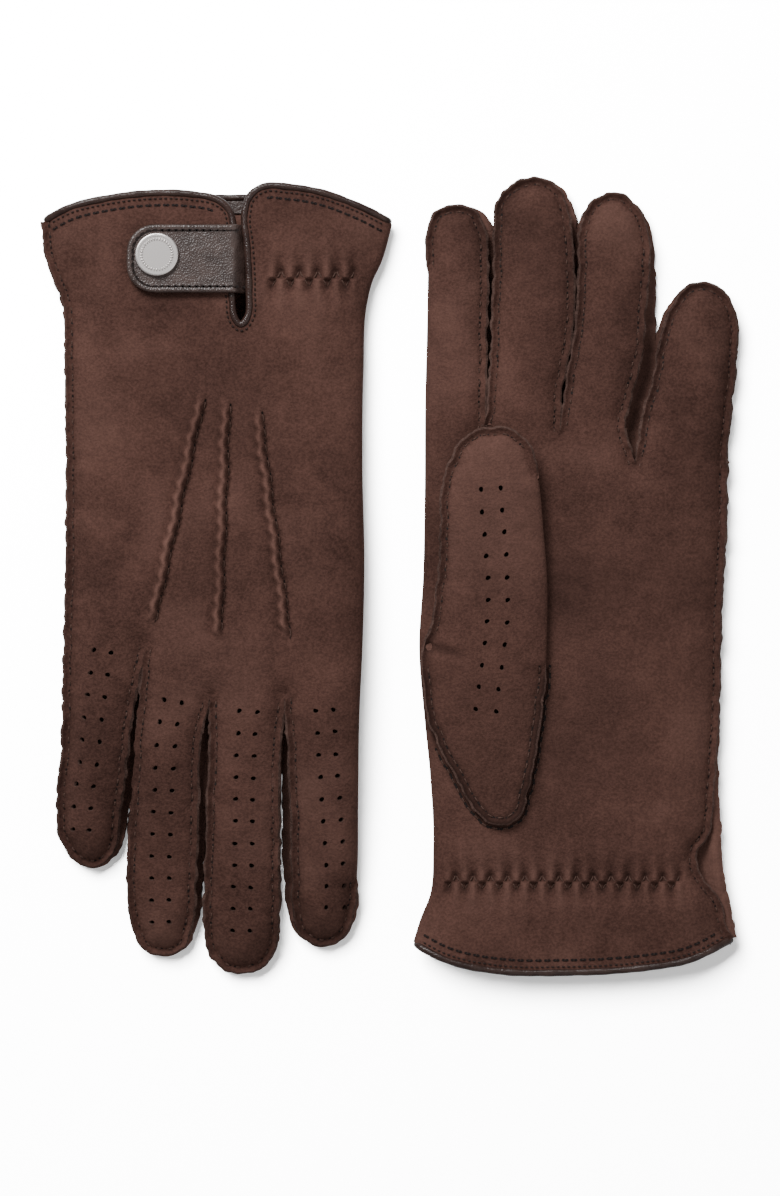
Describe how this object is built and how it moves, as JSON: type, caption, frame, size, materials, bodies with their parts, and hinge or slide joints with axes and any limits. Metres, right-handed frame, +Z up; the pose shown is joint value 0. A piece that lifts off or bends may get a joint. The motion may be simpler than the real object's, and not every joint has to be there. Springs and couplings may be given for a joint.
{
  "type": "leather driving gloves",
  "caption": "Pair of brown suede driving gloves with perforated fingers, fourchettes, snap-strap cuff vents and gathered wrists, laid back up and palm up.",
  "frame": {"origin": "on the table under the middle of the pair", "axes": "+Z up from the table; +Y along the left glove's fingers, against the right glove's; +X from the right glove to the left glove"},
  "size_m": [0.2136, 0.2439, 0.0224],
  "materials": {
    "suede": "soft brown suede with a short nap",
    "fourchette_suede": "darker thin suede",
    "smooth_leather": "fine-grained smooth leather, satin",
    "lining_leather": "matt lining leather",
    "snap_metal": "satin nickel",
    "elastic": "woven elastic"
  },
  "bodies": {
    "right_hand": {"right_hand_shell": "suede", "right_fourchette_roots": "fourchette_suede", "right_thumb_base": "suede", "right_strap_anchor": "smooth_leather", "right_snap_stud": "snap_metal", "right_snap_post": "snap_metal", "right_stud_patch": "lining_leather", "right_cuff_binding": "smooth_leather", "right_cuff_facing": "smooth_leather", "right_wrist_elastic": "elastic"},
    "right_strap": {"right_strap_outer": "smooth_leather", "right_strap_lining": "lining_leather", "right_snap_cap": "snap_metal", "right_snap_socket": "snap_metal"},
    "right_thumb": {"right_thumb_stall": "suede"},
    "right_index": {"right_index_stall": "suede", "right_index_fourchette": "fourchette_suede"},
    "right_middle": {"right_middle_stall": "suede", "right_middle_fourchettes": "fourchette_suede"},
    "right_ring": {"right_ring_stall": "suede", "right_ring_fourchettes": "fourchette_suede"},
    "right_little": {"right_little_stall": "suede", "right_little_fourchette": "fourchette_suede"},
    "left_hand": {"left_hand_shell": "suede", "left_fourchette_roots": "fourchette_suede", "left_thumb_base": "suede", "left_strap_anchor": "smooth_leather", "left_snap_stud": "snap_metal", "left_snap_post": "snap_metal", "left_stud_patch": "lining_leather", "left_cuff_binding": "smooth_leather", "left_cuff_facing": "smooth_leather", "left_wrist_elastic": "elastic"},
    "left_strap": {"left_strap_outer": "smooth_leather", "left_strap_lining": "lining_leather", "left_snap_cap": "snap_metal", "left_snap_socket": "snap_metal"},
    "left_thumb": {"left_thumb_stall": "suede"},
    "left_index": {"left_index_stall": "suede", "left_index_fourchette": "fourchette_suede"},
    "left_middle": {"left_middle_stall": "suede", "left_middle_fourchettes": "fourchette_suede"},
    "left_ring": {"left_ring_stall": "suede", "left_ring_fourchettes": "fourchette_suede"},
    "left_little": {"left_little_stall": "suede", "left_little_fourchette": "fourchette_suede"}
  },
  "joints": [
    {"name": "right_strap_open", "type": "hinge", "parent": "right_hand", "child": "right_strap", "pos_m": [-0.0459, 0.09923, 0.01486], "axis": [0, 0.9982, -0.0593], "range_deg": [0, 150]},
    {"name": "right_thumb_open", "type": "hinge", "parent": "right_hand", "child": "right_thumb", "pos_m": [-0.0298, 0.0233, 0], "axis": [0.8387, -0.5446, 0], "range_deg": [0, 60]},
    {"name": "right_index_flex", "type": "hinge", "parent": "right_hand", "child": "right_index", "pos_m": [-0.02115, -0.04741, 0.01025], "axis": [1, 0, 0], "range_deg": [0, 80]},
    {"name": "right_middle_flex", "type": "hinge", "parent": "right_hand", "child": "right_middle", "pos_m": [-0.04425, -0.04741, 0.01025], "axis": [0.9997, -0.0261, 0.0016], "range_deg": [0, 80]},
    {"name": "right_ring_flex", "type": "hinge", "parent": "right_hand", "child": "right_ring", "pos_m": [-0.0672, -0.04741, 0.01025], "axis": [0.9994, -0.0348, 0.0021], "range_deg": [0, 80]},
    {"name": "right_little_flex", "type": "hinge", "parent": "right_hand", "child": "right_little", "pos_m": [-0.0891, -0.03742, 0.00966], "axis": [0.9986, -0.0522, 0.0031], "range_deg": [0, 80]},
    {"name": "left_glove_slide", "type": "slide", "parent": "right_hand", "child": "left_hand", "axis": [1, 0, 0], "range_m": [0, 0.1]},
    {"name": "left_strap_open", "type": "hinge", "parent": "left_hand", "child": "left_strap", "pos_m": [0.0459, -0.09863, 0.00151], "axis": [0, 0.9998, -0.0173], "range_deg": [0, 150]},
    {"name": "left_thumb_open", "type": "hinge", "parent": "left_hand", "child": "left_thumb", "pos_m": [0.0298, -0.0234, 0.01955], "axis": [0.8387, -0.5442, -0.0229], "range_deg": [0, 60]},
    {"name": "left_index_flex", "type": "hinge", "parent": "left_hand", "child": "left_index", "pos_m": [0.02115, 0.04768, 0.01228], "axis": [1, 0, 0], "range_deg": [0, 80]},
    {"name": "left_middle_flex", "type": "hinge", "parent": "left_hand", "child": "left_middle", "pos_m": [0.04425, 0.04768, 0.01228], "axis": [1, -0.0087, 0.0002], "range_deg": [0, 80]},
    {"name": "left_ring_flex", "type": "hinge", "parent": "left_hand", "child": "left_ring", "pos_m": [0.0672, 0.04768, 0.01228], "axis": [0.9998, -0.0174, 0.0003], "range_deg": [0, 80]},
    {"name": "left_little_flex", "type": "hinge", "parent": "left_hand", "child": "left_little", "pos_m": [0.0891, 0.03768, 0.01245], "axis": [0.9945, -0.1045, 0.0018], "range_deg": [0, 80]}
  ]
}
